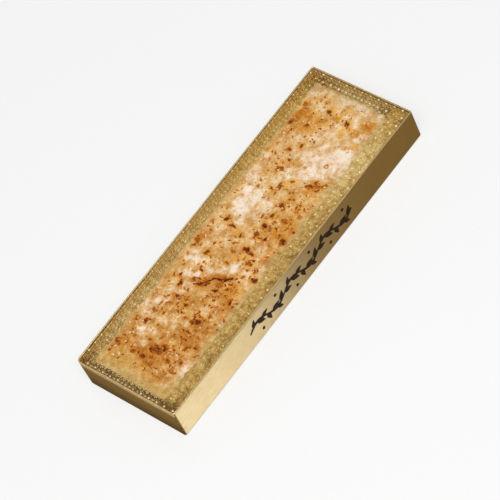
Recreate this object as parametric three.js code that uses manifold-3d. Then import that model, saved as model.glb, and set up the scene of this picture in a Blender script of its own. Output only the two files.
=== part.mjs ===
// A nougat block with a toasted, crumbly top, in its own open case of gold card.
// A border of pearled gold paper lies round the top of the block and folds up two of the walls.
// Millimetres, +Z up. X runs across the case, Y along it. The origin is the centre of the underside.
import * as THREE from "three";
import { mergeVertices } from "three/addons/utils/BufferGeometryUtils.js";
import Module from "manifold-3d";

// The case of gold card
const CASE_WIDTH = 68.9;
const CASE_LENGTH = 210;
const CASE_HEIGHT = 21.4;
const CARD = 1.0;
const CORNER_SOFT = 2.8;
const CORNER_TIGHT = 1.3;
const CORNER_LEAST = 0.3;
const EDGE_ROUND = 0.35;
const ARC_STEPS = 4;

// The paper border: a flat band on the block, with the inner edge at these places
const BORDER_TOP = 16.4;
const BORDER_THICK = 0.5;
const BORDER_GAP = 0.25;
const BAND_LEFT = -28.7;
const BAND_RIGHT = 20.9;
const BAND_NEAR = -98.9;
const BAND_FAR = 98.7;
const BAND_CORNER = 2.2;
const FOLD_CORNER_SOFT = 1.6;
const FOLD_CORNER = 0.6;
const LEG_THICK = 0.45;
const LEG_TOP = 20.95;
const LEG_FOOT = 16.0;

// Pearls and scallops of the border share one pitch
const PITCH = 5.5;
const PEARL_RADIUS = 0.72;
const PEARL_SQUASH = 0.78;
const PEARL_LIFT = 0.1;
const PEARL_SIDES = 5;
const PEARL_RINGS = 3;
const SCALLOP_DEPTH = 0.55;
const SCALLOP_STEPS = 3;
const ROW_LEFT = -31.1;
const ROW_RIGHT_OUTER = 29.4;
const ROW_RIGHT_INNER = 23.9;
const ROW_NEAR = -101.8;
const ROW_FAR = 101.2;
const ROW_LEG_Z = 20.1;

// The nougat: a block up to the border's underside, and a rough crown inside the border
const BLOCK_GAP = 0.35;
const BLOCK_CORNER = 1.6;
const CROWN_GAP = 0.4;
const CROWN_CORNER = 3.5;
const CROWN_EDGE = 15.2;
const CROWN_TOP = 16.45;
const CROWN_LIMIT = 17.05;
const CROWN_ROOT = 13.0;
const SHOULDER = 3.2;
const SHOULDER_SHARES = [0, 0.15, 0.45, 1];
const CELL = 2.5;
const NOISE_SEED = 41;

// Lumps of the top, coarse to fine: cell size, height and layer of the noise
const LUMPS = [
  { cell: 16, height: 0.2, layer: 1 },
  { cell: 7, height: 0.2, layer: 2 },
  { cell: 3.2, height: 0.28, layer: 3 },
];

// Where the top bulges (white patches) and dips: centre, half sizes across and along, turn and rise
const MOUNDS = [
  { x: 7.8, y: 60, across: 12, along: 13, turn: 0.2, rise: 0.3 },
  { x: -15, y: 17, across: 11, along: 13, turn: -0.1, rise: 0.32 },
  { x: -14, y: -21, across: 8, along: 7, turn: 0, rise: 0.22 },
  { x: -18, y: -52, across: 8, along: 9, turn: 0, rise: 0.22 },
  { x: 5, y: -20, across: 3.5, along: 4, turn: 0, rise: 0.35 },
];
const BURNT_DIP = { x: 0, y: -77, across: 5.5, along: 6, turn: 0.4, rise: -0.45 };
const SYRUP_POOL = { x: -15, y: -91, across: 13, along: 8, turn: 0, rise: -0.35 };
const SYRUP_SMOOTHNESS = 0.8;
const CRACK_FROM = { x: 8, y: -22 };
const CRACK_TO = { x: -9, y: -36 };
const CRACK_HALF_WIDTH = 1.5;
const CRACK_DEPTH = 1.0;
const CRACK_WANDER = 1.2;
const CRACK_WANDER_CELL = 4;
const CRACK_LAYER = 7;
const PATCH_CORE = 0.35;
const PATCH_RIM = 1.15;

const INNER_HALF_WIDTH = CASE_WIDTH / 2 - CARD;
const INNER_HALF_LENGTH = CASE_LENGTH / 2 - CARD;

const wasm = await Module();
wasm.setup();

/** Turn a closed geometry into a solid: only positions are kept, and equal vertices are merged. */
function toSolid(geometry) {
  const bare = geometry.index ? geometry.clone() : geometry;
  for (const name of Object.keys(bare.attributes)) {
    if (name !== "position") bare.deleteAttribute(name);
  }
  const merged = mergeVertices(bare, 1e-4);
  const solid = new wasm.Manifold(new wasm.Mesh({
    numProp: 3,
    vertProperties: new Float32Array(merged.attributes.position.array),
    triVerts: new Uint32Array(merged.index.array),
  }));
  return solid;
}

/** Turn a solid back into a geometry with flat normals. */
function toGeometry(solid) {
  const mesh = solid.getMesh();
  const geometry = new THREE.BufferGeometry();
  geometry.setAttribute("position", new THREE.BufferAttribute(mesh.vertProperties, 3));
  geometry.setIndex(new THREE.BufferAttribute(mesh.triVerts, 1));
  geometry.computeVertexNormals();
  return geometry;
}

/** Outline of a rectangle with a radius of its own at each corner, counter-clockwise. */
function roundedRectangle(left, right, near, far, radii) {
  const shape = new THREE.Shape();
  const { nearLeft, nearRight, farRight, farLeft } = radii;
  shape.moveTo(left + nearLeft, near);
  shape.lineTo(right - nearRight, near);
  shape.absarc(right - nearRight, near + nearRight, nearRight, -Math.PI / 2, 0);
  shape.lineTo(right, far - farRight);
  shape.absarc(right - farRight, far - farRight, farRight, 0, Math.PI / 2);
  shape.lineTo(left + farLeft, far);
  shape.absarc(left + farLeft, far - farLeft, farLeft, Math.PI / 2, Math.PI);
  shape.lineTo(left, near + nearLeft);
  shape.absarc(left + nearLeft, near + nearLeft, nearLeft, Math.PI, 1.5 * Math.PI);
  return shape;
}

/** The case's outline moved inwards by an inset, with its one softer corner. */
function caseOutline(inset) {
  const tight = Math.max(CORNER_TIGHT - inset, CORNER_LEAST);
  const soft = CORNER_SOFT - inset;
  return roundedRectangle(
    -CASE_WIDTH / 2 + inset, CASE_WIDTH / 2 - inset,
    -CASE_LENGTH / 2 + inset, CASE_LENGTH / 2 - inset,
    { nearLeft: soft, nearRight: tight, farRight: tight, farLeft: tight },
  );
}

/** Raise an outline from one height to another. */
function prism(shape, bottom, top) {
  const settings = { depth: top - bottom, bevelEnabled: false, curveSegments: ARC_STEPS };
  const geometry = new THREE.ExtrudeGeometry(shape, settings);
  geometry.translate(0, 0, bottom);
  return geometry;
}

/** The tray: rounded outer edges, thin walls and floor, open at the top. */
function makeCase() {
  const outer = new THREE.ExtrudeGeometry(caseOutline(0), {
    depth: CASE_HEIGHT - 2 * EDGE_ROUND,
    curveSegments: ARC_STEPS,
    bevelThickness: EDGE_ROUND,
    bevelSize: EDGE_ROUND,
    bevelOffset: -EDGE_ROUND,
    bevelSegments: 2,
  });
  outer.translate(0, 0, EDGE_ROUND);
  const hollow = prism(caseOutline(CARD), CARD, CASE_HEIGHT + CARD);
  return toGeometry(toSolid(outer).subtract(toSolid(hollow)));
}

/** Points along one straight side of the band's inner edge, with one scallop to each pitch. */
function scallopedSide(from, to, inward) {
  const length = from.distanceTo(to);
  const count = Math.max(1, Math.round(length / PITCH));
  const points = [];
  for (let i = 0; i < count * SCALLOP_STEPS; i += 1) {
    const phase = (i % SCALLOP_STEPS) / SCALLOP_STEPS;
    const point = from.clone().lerp(to, i / (count * SCALLOP_STEPS));
    points.push(point.addScaledVector(inward, SCALLOP_DEPTH * Math.sin(Math.PI * phase)));
  }
  return points;
}

/** The flat band of the border: a frame that is wider on the right, with a scalloped inner edge. */
function makeBand() {
  const halfWidth = INNER_HALF_WIDTH - BORDER_GAP;
  const halfLength = INNER_HALF_LENGTH - BORDER_GAP;
  const corner = {
    nearLeft: FOLD_CORNER_SOFT, nearRight: FOLD_CORNER, farRight: FOLD_CORNER, farLeft: FOLD_CORNER,
  };
  const frame = roundedRectangle(-halfWidth, halfWidth, -halfLength, halfLength, corner);
  const corners = [
    new THREE.Vector2(BAND_LEFT + BAND_CORNER, BAND_NEAR),
    new THREE.Vector2(BAND_RIGHT - BAND_CORNER, BAND_NEAR),
    new THREE.Vector2(BAND_RIGHT, BAND_NEAR + BAND_CORNER),
    new THREE.Vector2(BAND_RIGHT, BAND_FAR - BAND_CORNER),
    new THREE.Vector2(BAND_RIGHT - BAND_CORNER, BAND_FAR),
    new THREE.Vector2(BAND_LEFT + BAND_CORNER, BAND_FAR),
    new THREE.Vector2(BAND_LEFT, BAND_FAR - BAND_CORNER),
    new THREE.Vector2(BAND_LEFT, BAND_NEAR + BAND_CORNER),
  ];
  const edge = [];
  for (let side = 0; side < 4; side += 1) {
    const [from, to] = [corners[2 * side], corners[2 * side + 1]];
    const inward = new THREE.Vector2(0, 1).rotateAround(new THREE.Vector2(), (side * Math.PI) / 2);
    edge.push(...scallopedSide(from, to, inward), to);
  }
  frame.holes.push(new THREE.Path(edge));
  return prism(frame, BORDER_TOP - BORDER_THICK, BORDER_TOP);
}

/** The part of the border that is folded up the left and far walls. */
function makeLegs() {
  const left = -INNER_HALF_WIDTH + BORDER_GAP;
  const far = INNER_HALF_LENGTH - BORDER_GAP;
  const right = INNER_HALF_WIDTH - BORDER_GAP;
  const near = -INNER_HALF_LENGTH + CORNER_SOFT;
  const legs = new THREE.Shape();
  legs.moveTo(left, near);
  legs.lineTo(left + LEG_THICK, near);
  legs.lineTo(left + LEG_THICK, far - LEG_THICK);
  legs.lineTo(right, far - LEG_THICK);
  legs.lineTo(right, far);
  legs.lineTo(left + FOLD_CORNER, far);
  legs.absarc(left + FOLD_CORNER, far - FOLD_CORNER, FOLD_CORNER, Math.PI / 2, Math.PI);
  return prism(legs, LEG_FOOT, LEG_TOP);
}

/** Places of one row of pearls, a pitch apart, spread evenly between two ends. */
function pearlRow(from, to) {
  const count = Math.round(from.distanceTo(to) / PITCH);
  const places = [];
  for (let i = 0; i <= count; i += 1) {
    places.push(from.clone().lerp(to, i / count));
  }
  return places;
}

/** One pearl, a squashed ball that faces along a direction and stands a little proud of its place. */
function makePearl(place, facing) {
  const pearl = new THREE.SphereGeometry(PEARL_RADIUS, PEARL_SIDES, PEARL_RINGS);
  pearl.scale(1, PEARL_SQUASH, 1);
  pearl.translate(0, PEARL_LIFT, 0);
  const turn = new THREE.Quaternion().setFromUnitVectors(new THREE.Vector3(0, 1, 0), facing);
  pearl.applyQuaternion(turn);
  pearl.translate(place.x, place.y, place.z);
  return toSolid(pearl);
}

/** The paper border: band, folded legs and pearls joined into one body. */
function makeBorder() {
  let border = toSolid(makeBand()).add(toSolid(makeLegs()));
  const wallX = -INNER_HALF_WIDTH + BORDER_GAP + LEG_THICK;
  const wallY = INNER_HALF_LENGTH - BORDER_GAP - LEG_THICK;
  const flat = (x, y) => new THREE.Vector3(x, y, BORDER_TOP);
  const raised = (x, y) => new THREE.Vector3(x, y, ROW_LEG_Z);
  const up = new THREE.Vector3(0, 0, 1);
  const fromLeftWall = new THREE.Vector3(1, 0, 0);
  const fromFarWall = new THREE.Vector3(0, -1, 0);
  const across = (y) => pearlRow(flat(ROW_LEFT, y), flat(ROW_RIGHT_OUTER, y));
  const along = (x) => pearlRow(flat(x, ROW_NEAR), flat(x, ROW_FAR)).slice(1, -1);
  const rows = [
    { facing: up, places: across(ROW_NEAR) },
    { facing: up, places: across(ROW_FAR) },
    { facing: up, places: along(ROW_LEFT) },
    { facing: up, places: along(ROW_RIGHT_OUTER) },
    { facing: up, places: along(ROW_RIGHT_INNER) },
    { facing: fromLeftWall, places: pearlRow(raised(wallX, ROW_NEAR + PITCH), raised(wallX, ROW_FAR)) },
    { facing: fromFarWall, places: pearlRow(raised(ROW_LEFT, wallY), raised(ROW_RIGHT_OUTER, wallY)) },
  ];
  for (const row of rows) {
    for (const place of row.places) {
      border = border.add(makePearl(place, row.facing));
    }
  }
  return toGeometry(border);
}

/** Seeded number between 0 and 1 for a whole-number cell. */
function hash(i, j, layer) {
  const value = Math.sin(i * 127.1 + j * 311.7 + (layer + NOISE_SEED) * 74.7) * 43758.5453;
  return value - Math.floor(value);
}

/** Smooth value noise between -1 and 1 with cells of the given size. */
function noise(x, y, size, layer) {
  const i = Math.floor(x / size);
  const j = Math.floor(y / size);
  const u = THREE.MathUtils.smoothstep(x / size - i, 0, 1);
  const v = THREE.MathUtils.smoothstep(y / size - j, 0, 1);
  const lower = THREE.MathUtils.lerp(hash(i, j, layer), hash(i + 1, j, layer), u);
  const upper = THREE.MathUtils.lerp(hash(i, j + 1, layer), hash(i + 1, j + 1, layer), u);
  return 2 * THREE.MathUtils.lerp(lower, upper, v) - 1;
}

/** How much of a turned ellipse's bump reaches a point: 1 at its centre, 0 outside it. */
function bump(patch, x, y) {
  const dx = x - patch.x;
  const dy = y - patch.y;
  const across = (dx * Math.cos(patch.turn) + dy * Math.sin(patch.turn)) / patch.across;
  const along = (dy * Math.cos(patch.turn) - dx * Math.sin(patch.turn)) / patch.along;
  return 1 - THREE.MathUtils.smoothstep(Math.hypot(across, along), PATCH_CORE, PATCH_RIM);
}

/** How deep the crack is at a point: 1 on its line, 0 away from it. */
function crackAt(x, y) {
  const wander = CRACK_WANDER * noise(x, y, CRACK_WANDER_CELL, CRACK_LAYER);
  const run = new THREE.Vector2(CRACK_TO.x - CRACK_FROM.x, CRACK_TO.y - CRACK_FROM.y);
  const away = new THREE.Vector2(x - CRACK_FROM.x + wander, y - CRACK_FROM.y);
  const share = THREE.MathUtils.clamp(away.dot(run) / run.lengthSq(), 0, 1);
  const distance = away.distanceTo(run.clone().multiplyScalar(share));
  return 1 - THREE.MathUtils.smoothstep(distance, 0, CRACK_HALF_WIDTH);
}

const CROWN = {
  left: BAND_LEFT + SCALLOP_DEPTH + CROWN_GAP,
  right: BAND_RIGHT - SCALLOP_DEPTH - CROWN_GAP,
  near: BAND_NEAR + SCALLOP_DEPTH + CROWN_GAP,
  far: BAND_FAR - SCALLOP_DEPTH - CROWN_GAP,
};

/** Distance in from the crown's rounded outline, negative outside it. */
function insideBy(x, y) {
  const dx = Math.abs(x - (CROWN.left + CROWN.right) / 2) - (CROWN.right - CROWN.left) / 2 + CROWN_CORNER;
  const dy = Math.abs(y - (CROWN.near + CROWN.far) / 2) - (CROWN.far - CROWN.near) / 2 + CROWN_CORNER;
  const outside = Math.hypot(Math.max(dx, 0), Math.max(dy, 0));
  return CROWN_CORNER - outside - Math.min(Math.max(dx, dy), 0);
}

/** Height of the nougat's top: a rounded shoulder, then lumps, dips and one crack. */
function topHeight(x, y) {
  const share = THREE.MathUtils.clamp(insideBy(x, y) / SHOULDER, 0, 1);
  const shoulder = Math.sqrt(1 - (1 - share) ** 2);
  let z = CROWN_EDGE + (CROWN_TOP - CROWN_EDGE) * shoulder;
  const rough = shoulder * (1 - SYRUP_SMOOTHNESS * bump(SYRUP_POOL, x, y));
  for (const lump of LUMPS) {
    z += rough * lump.height * noise(x, y, lump.cell, lump.layer);
  }
  for (const patch of [...MOUNDS, BURNT_DIP, SYRUP_POOL]) {
    z += shoulder * patch.rise * bump(patch, x, y);
  }
  z -= CRACK_DEPTH * crackAt(x, y);
  return Math.min(z, CROWN_LIMIT);
}

/** Grid lines between two ends: close together on the shoulders and even between them. */
function gridLines(low, high) {
  const shoulderSteps = SHOULDER_SHARES.map((share) => share * SHOULDER);
  const inner = high - low - 2 * SHOULDER;
  const count = Math.round(inner / CELL);
  const lines = shoulderSteps.map((step) => low + step);
  for (let i = 1; i < count; i += 1) {
    lines.push(low + SHOULDER + (inner * i) / count);
  }
  lines.push(...shoulderSteps.reverse().map((step) => high - step));
  return lines;
}

/** The rough crown: a grid of heights closed by side walls and a flat underside. */
function makeCrown() {
  const xs = gridLines(CROWN.left, CROWN.right);
  const ys = gridLines(CROWN.near, CROWN.far);
  const positions = [];
  const triangles = [];
  for (const y of ys) {
    for (const x of xs) positions.push(x, y, topHeight(x, y));
  }
  const across = xs.length;
  const along = ys.length;
  const at = (i, j) => j * across + i;
  for (let j = 0; j + 1 < along; j += 1) {
    for (let i = 0; i + 1 < across; i += 1) {
      triangles.push(at(i, j), at(i + 1, j), at(i + 1, j + 1), at(i, j), at(i + 1, j + 1), at(i, j + 1));
    }
  }
  const rim = [];
  for (let i = 0; i < across - 1; i += 1) rim.push(at(i, 0));
  for (let j = 0; j < along - 1; j += 1) rim.push(at(across - 1, j));
  for (let i = across - 1; i > 0; i -= 1) rim.push(at(i, along - 1));
  for (let j = along - 1; j > 0; j -= 1) rim.push(at(0, j));
  const foot = positions.length / 3;
  for (const k of rim) positions.push(positions[3 * k], positions[3 * k + 1], CROWN_ROOT);
  const centre = foot + rim.length;
  positions.push((CROWN.left + CROWN.right) / 2, (CROWN.near + CROWN.far) / 2, CROWN_ROOT);
  rim.forEach((top, k) => {
    const next = (k + 1) % rim.length;
    triangles.push(top, foot + k, foot + next, top, foot + next, rim[next], foot + next, foot + k, centre);
  });
  const geometry = new THREE.BufferGeometry();
  geometry.setAttribute("position", new THREE.Float32BufferAttribute(positions, 3));
  geometry.setIndex(triangles);
  return geometry;
}

/** The nougat: one block that fills the case up to the border, with its crown. */
function makeNougat() {
  const halfWidth = INNER_HALF_WIDTH - BLOCK_GAP;
  const halfLength = INNER_HALF_LENGTH - BLOCK_GAP;
  const corner = {
    nearLeft: BLOCK_CORNER, nearRight: BLOCK_CORNER, farRight: BLOCK_CORNER, farLeft: BLOCK_CORNER,
  };
  const outline = roundedRectangle(-halfWidth, halfWidth, -halfLength, halfLength, corner);
  const block = prism(outline, CARD, BORDER_TOP - BORDER_THICK);
  return toGeometry(toSolid(block).add(toSolid(makeCrown())));
}

const goldCard = new THREE.MeshStandardMaterial({ color: 0xb89c5c, roughness: 0.35, metalness: 0.85 });
const goldPaper = new THREE.MeshStandardMaterial({ color: 0xa8873f, roughness: 0.4, metalness: 0.7 });
const nougatPaste = new THREE.MeshStandardMaterial({ color: 0xe2c08a, roughness: 0.6, metalness: 0 });

/** Give a geometry its name and material. */
function named(name, geometry, material) {
  const mesh = new THREE.Mesh(geometry, material);
  mesh.name = name;
  return mesh;
}

const nougatBlock = new THREE.Group();
nougatBlock.name = "nougat_block";
nougatBlock.add(named("case", makeCase(), goldCard));
nougatBlock.add(named("nougat", makeNougat(), nougatPaste));
nougatBlock.add(named("lace_border", makeBorder(), goldPaper));

export default nougatBlock;
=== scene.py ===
"""A nougat block with a toasted top, in its open case of gold card with a pearled gold paper border.

Places and sizes are in millimetres in the frame of the solids, +Z up, and turn to metres when a mesh is made.
"""
import math

import bmesh
import bpy
import numpy as np
from mathutils import Matrix, Vector


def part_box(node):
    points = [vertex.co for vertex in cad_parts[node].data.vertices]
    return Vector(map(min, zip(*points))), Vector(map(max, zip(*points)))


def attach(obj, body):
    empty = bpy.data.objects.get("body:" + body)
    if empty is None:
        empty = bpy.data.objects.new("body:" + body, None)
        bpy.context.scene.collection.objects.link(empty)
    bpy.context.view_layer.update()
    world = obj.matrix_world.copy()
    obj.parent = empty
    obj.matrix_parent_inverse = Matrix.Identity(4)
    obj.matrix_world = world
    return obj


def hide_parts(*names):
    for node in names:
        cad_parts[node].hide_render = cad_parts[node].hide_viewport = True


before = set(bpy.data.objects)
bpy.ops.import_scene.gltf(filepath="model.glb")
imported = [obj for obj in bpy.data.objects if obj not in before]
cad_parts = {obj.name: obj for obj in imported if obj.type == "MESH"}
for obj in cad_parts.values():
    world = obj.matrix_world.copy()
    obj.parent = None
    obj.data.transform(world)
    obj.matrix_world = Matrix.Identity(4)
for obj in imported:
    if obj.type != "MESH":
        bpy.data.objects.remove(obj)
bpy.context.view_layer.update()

MM = 0.001

# The case of gold card
CASE_LOW, CASE_HIGH = (np.array(corner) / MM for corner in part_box("case"))
CASE_WIDTH, CASE_LENGTH, CASE_HEIGHT = CASE_HIGH - CASE_LOW
CARD = 1.0
CORNER_SOFT = 2.8
CORNER_TIGHT = 1.3
CASE_CORNERS = (CORNER_SOFT, CORNER_TIGHT, CORNER_TIGHT, CORNER_TIGHT)
CASE_STEPS = (48, 140)
INNER_X = CASE_WIDTH / 2 - CARD
INNER_Y = CASE_LENGTH / 2 - CARD
# Its section from the foot over the folded rim to the floor, as (inset, height, share of the pale rim)
CASE_SECTION = (
    (0.9, 0, 0), (0.45, 0.02, 0), (0.18, 0.14, 0), (0.04, 0.4, 0), (0, 0.9, 0), (0, 4, 0), (0, 8, 0),
    (0, 12, 0), (0, 16, 0), (0, 18.1, 0), (0, 18.9, 0), (0, 20.9, 0.2), (0.02, 21.2, 0.8), (0.08, 21.34, 1),
    (0.2, 21.4, 1), (0.48, 21.36, 1), (0.56, 21.22, 0.4), (0.6, 21.06, 0), (0.64, 21.2, 0.4), (0.74, 21.3, 1),
    (0.86, 21.28, 1), (0.96, 21.1, 0.6), (1, 20.8, 0.2), (1, 17, 0), (1, 8, 0), (1, 1.4, 0), (1.4, 1, 0),
)

# The paper border: where its flat band ends, how high it is, and its rows of pearls
BORDER_TOP = 16.4
BORDER_UNDERSIDE = 16.0
BORDER_GAP = 0.15
BAND_LEFT, BAND_RIGHT = -28.7, 20.9
BAND_NEAR, BAND_FAR = -98.9, 98.7
BAND_CORNER = 2.2
SCALLOP_DEPTH = 0.55
LEG_TOP = 20.95
LEG_THICK = 0.3
LEG_BEND = 0.8
ROW_LEFT, ROW_RIGHT = -31.1, 28.9
ROW_NEAR, ROW_FAR = -101.8, 101.2
ROW_LEG_Z = 20.1
PITCHES_X, PITCHES_Y = 11, 37
PITCH_X = (ROW_RIGHT - ROW_LEFT) / PITCHES_X
PITCH_Y = (ROW_FAR - ROW_NEAR) / PITCHES_Y
PEARL_RADIUS = 0.74
# Points along its short and its long sides, and across its band and its leg
BORDER_STEPS = (210, 690)
BAND_LANES, LEG_LANES = 34, 18
# Where its right side turns soft and soaked, and from where on its left fold presses on the pearls
SOAKED_FROM, SOAKED_FULL = 19, 22
FOLD_FROM = -75

# The nougat: a ledge under the border and a rough crown inside it
NOUGAT_GAP = 0.35
LEDGE = 15.75
CROWN_UNDER = 1.2
CROWN_LEFT, CROWN_RIGHT = BAND_LEFT - CROWN_UNDER, BAND_RIGHT + CROWN_UNDER
CROWN_NEAR, CROWN_FAR = BAND_NEAR - CROWN_UNDER, BAND_FAR + CROWN_UNDER
CROWN_CORNER = 3.2
CROWN_EDGE = 15.9
CROWN_TOP = 16.45
CROWN_LIMIT = 17.3
SHOULDER = 3.2
GRID_STEP = 0.34
# Lumps and crumbs as (size, height, layer of noise), and the height of a crumb that counts as level
LUMPS = ((16, 0.2, 1), (7, 0.2, 2), (3.2, 0.28, 3))
CRUMBS = ((2.6, 0.55, 70), (1.3, 0.34, 75))
CRUMB_LEVEL = 0.6

# Mounds and hollows of the top as (x, y, half size across, half size along, height)
MOUNDS = (
    (7.8, 60, 12, 13, 0.3),
    (-15, 17, 11, 13, 0.32),
    (-14, -21, 8, 7, 0.22),
    (-18, -52, 8, 9, 0.22),
    (5, -20, 3.5, 4, 0.35),
)
BURNT = (0, -77, 5.5, 6, -0.45)
SYRUP_POOL = (-15, -91, 13, 8, -0.35)
HALF_WET = (6, -89, 9, 6, 0.5)
CRACK_DEPTH = 0.6

# Where the paste stays white, from near to far, as (x, y, half size across, half size along, strength)
WHITE_PATCHES = (
    (14.8, -92, 4, 5, 0.8), (12, -85, 3, 3, 0.5), (20.4, -79.2, 4.4, 6.6, 1), (14, -79, 3, 4, 0.5),
    (-11.5, -77.5, 4, 3, 0.7), (15, -77, 3, 2.6, 0.6), (-4.5, -72.5, 2.6, 2.4, 0.55),
    (-17, -72, 4.4, 4, 0.65), (-11.5, -69.5, 4, 3.4, 0.35), (-19, -66, 4, 4, 0.5),
    (-2.5, -62.5, 3.2, 2.6, 0.5), (-19, -62, 3.8, 3.2, 0.6), (-9.5, -61, 3.4, 3, 0.5),
    (-25, -57, 3, 3, 0.5), (2, -57, 3, 3, 0.5), (-22, -57, 4, 3, 0.6), (-21, -54, 5, 5.4, 0.7),
    (-16, -51, 4, 3.4, 0.5), (-13, -43, 3, 2.4, 0.5), (-18, -42.5, 4, 3.4, 0.7),
    (-12.5, -37.5, 3.4, 3.6, 0.65), (-17, -32, 7, 4, 0.55), (-12, -30.5, 2.6, 3, 0.8),
    (-8, -24.5, 4, 4, 0.6), (-22, -24, 3.4, 4, 0.6), (-5, -24, 4.4, 3, 0.8), (-17, -22.5, 4.4, 4, 0.45),
    (0.5, -21.5, 3.6, 3, 0.85), (-23, -20, 3.5, 3, 0.4), (4.2, -18.2, 3.6, 4, 0.95),
    (-18, -12, 3, 3, 0.5), (17.5, -10, 3, 4, 0.5), (10, -1, 3.4, 4, 0.4), (-24, 5, 2.6, 4, 0.2),
    (-10, 8.5, 3, 3.4, 0.7), (3, 11, 2.4, 2, 0.3), (-4, 12, 4, 3, 0.6), (-20, 12.5, 3, 4, 0.6),
    (-6, 13, 4, 4, 0.4), (-2, 14, 3, 3, 0.5), (-16, 16, 7.5, 8.5, 1), (-6, 18, 4, 4.4, 0.6),
    (-4.5, 23, 5, 5, 0.6), (-13.5, 24, 6, 5.5, 1), (-19.5, 25, 3.6, 5, 0.8), (-22, 31, 4, 4, 0.5),
    (-23, 33, 4.4, 5, 0.75), (-23.5, 43, 4, 9, 0.4), (-5, 44, 6, 4, 0.6), (3, 46.5, 7, 3.6, 0.6),
    (-22.5, 47, 3, 3, 0.3), (8, 52, 7, 6, 1), (1, 53, 5, 8, 0.75), (-7, 56, 4, 4, 0.5),
    (10, 58, 10, 9, 1), (0, 58, 6, 7, 0.8), (20, 61, 4, 12, 0.9), (1, 63, 5, 5, 0.3), (3, 65, 4, 4, 0.6),
    (13, 66, 8, 7, 0.9), (15, 79.5, 3.4, 3.4, 0.8), (8, 87.5, 2.6, 3.4, 0.4),
)
# Where the top is caramelised to amber, in the same form
AMBER_PATCHES = (
    (-25, -92, 4, 4, 0.8), (8.5, -91, 5, 3.4, 0.5), (1, -90.5, 4, 3.4, 0.8), (-5, -88, 4, 5, 0.95),
    (-17, -87.5, 6, 3, 0.8), (25.5, -87, 3, 3, 0.9), (1, -86, 5, 4, 0.35), (-25.8, -85.5, 5, 6, 1),
    (-7, -84, 9, 3.4, 0.95), (8, -80, 4, 4, 0.5), (-1.5, -78, 6, 6, 1), (12, -73, 4.4, 5, 0.7),
    (-6, -66, 2.6, 2.6, 0.55), (-26, -66, 3, 3.4, 0.6), (7, -65, 3.6, 4, 0.9), (13.5, -65, 4.6, 4.4, 0.6),
    (-16, -57.3, 3.6, 3.4, 0.8), (6, -53.5, 4.6, 4, 0.8), (-5, -48.5, 3.6, 3.4, 0.8),
    (-13, -46, 2.6, 2.6, 0.7), (9, -42, 4, 4.4, 0.85), (2, -40.5, 4.6, 4.6, 0.9), (15, -38, 6, 6, 0.8),
    (-17.5, -37.8, 2.6, 2.4, 0.7), (-26, -37.2, 3, 3.2, 0.75), (-5.5, -33, 4.6, 5, 0.7),
    (17, -31, 3, 4, 0.8), (12, -30, 8, 9, 1), (3, -27, 5, 5, 0.6), (-25, -27, 3, 3.4, 0.6),
    (-14, -26, 2.6, 2.4, 0.6), (19, -18.6, 3, 3, 0.6), (-15.5, -15.5, 2.8, 2.6, 0.7),
    (-26, -13.4, 3, 4, 0.85), (1, -12, 4, 3, 0.8), (12, -12, 4, 4, 0.8), (-26, -10, 3, 4, 0.8),
    (5, -9, 5, 4, 1), (-14, -8, 3, 3, 0.6), (3, -6, 4.4, 4, 1), (16, -1, 3, 3, 0.7), (-8, 1, 5, 4, 0.75),
    (-25.5, 1, 3.6, 6, 0.5), (5, 5, 5, 5, 0.9), (-19, 5.4, 3.6, 4, 0.8), (18.8, 8, 3.4, 3.4, 0.7),
    (12, 11, 6, 6, 0.9), (19, 15, 3, 5, 0.9), (3, 18.5, 4, 4.4, 0.85), (13, 19, 6, 5.4, 1),
    (-26, 21, 3, 6, 0.55), (4, 27, 4.4, 4.4, 0.85), (-6, 27, 3, 3, 0.5), (13, 28.5, 6, 6, 0.95),
    (18.6, 30, 3, 5, 0.8), (6, 32.5, 4, 4.4, 0.65), (-10, 33, 3, 2.6, 0.55), (-3.5, 36, 4, 5.4, 0.85),
    (18.4, 38, 3, 4, 0.8), (12, 38.5, 6, 5, 0.85), (2, 40, 3.4, 4, 0.75), (-1, 40, 4, 4, 0.9),
    (-19.5, 41, 4, 4, 0.7), (-15, 43.5, 4, 4, 0.3), (13, 44, 6, 5, 1), (16.5, 45, 4, 4, 0.9),
    (-10.5, 48.5, 5, 5, 0.55), (-15, 48.5, 3, 3, 0.9), (0, 51.5, 2.2, 2.6, 0.7), (-27, 52, 3, 3, 0.8),
    (-16, 56, 3, 3, 0.6), (9.8, 57, 2.8, 2.8, 0.95), (-26, 59, 3, 6, 0.5), (-10, 62, 4, 4, 0.75),
    (12.4, 62.5, 2.6, 2.6, 0.6), (-7, 66, 3, 3, 0.5), (-24, 67, 4.4, 5, 0.7), (7.5, 68, 2.6, 2.8, 0.45),
    (12, 70.5, 3, 3, 0.7), (-27, 71, 3.4, 5, 1), (16.5, 74, 3.4, 3.6, 0.75), (-25, 76, 6, 10, 1),
    (-15, 77, 9, 10, 1), (4, 77.5, 4, 4.4, 0.8), (-8, 79, 4.6, 5, 0.8), (11, 80.5, 4, 4, 0.85),
    (6, 82, 4, 4, 0.9), (-22, 83, 6, 6, 0.9), (4, 85, 4, 4, 0.85), (-26, 86, 3, 5, 1), (-3, 86, 4, 4, 1),
    (-9, 88, 4.4, 5, 0.85), (15.5, 88.5, 5, 5, 1), (-21, 91, 4, 4, 1), (-15, 92, 6, 5, 0.95),
    (4, 92, 4, 3.4, 0.6), (-1, 92, 4, 4, 1),
)
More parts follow.
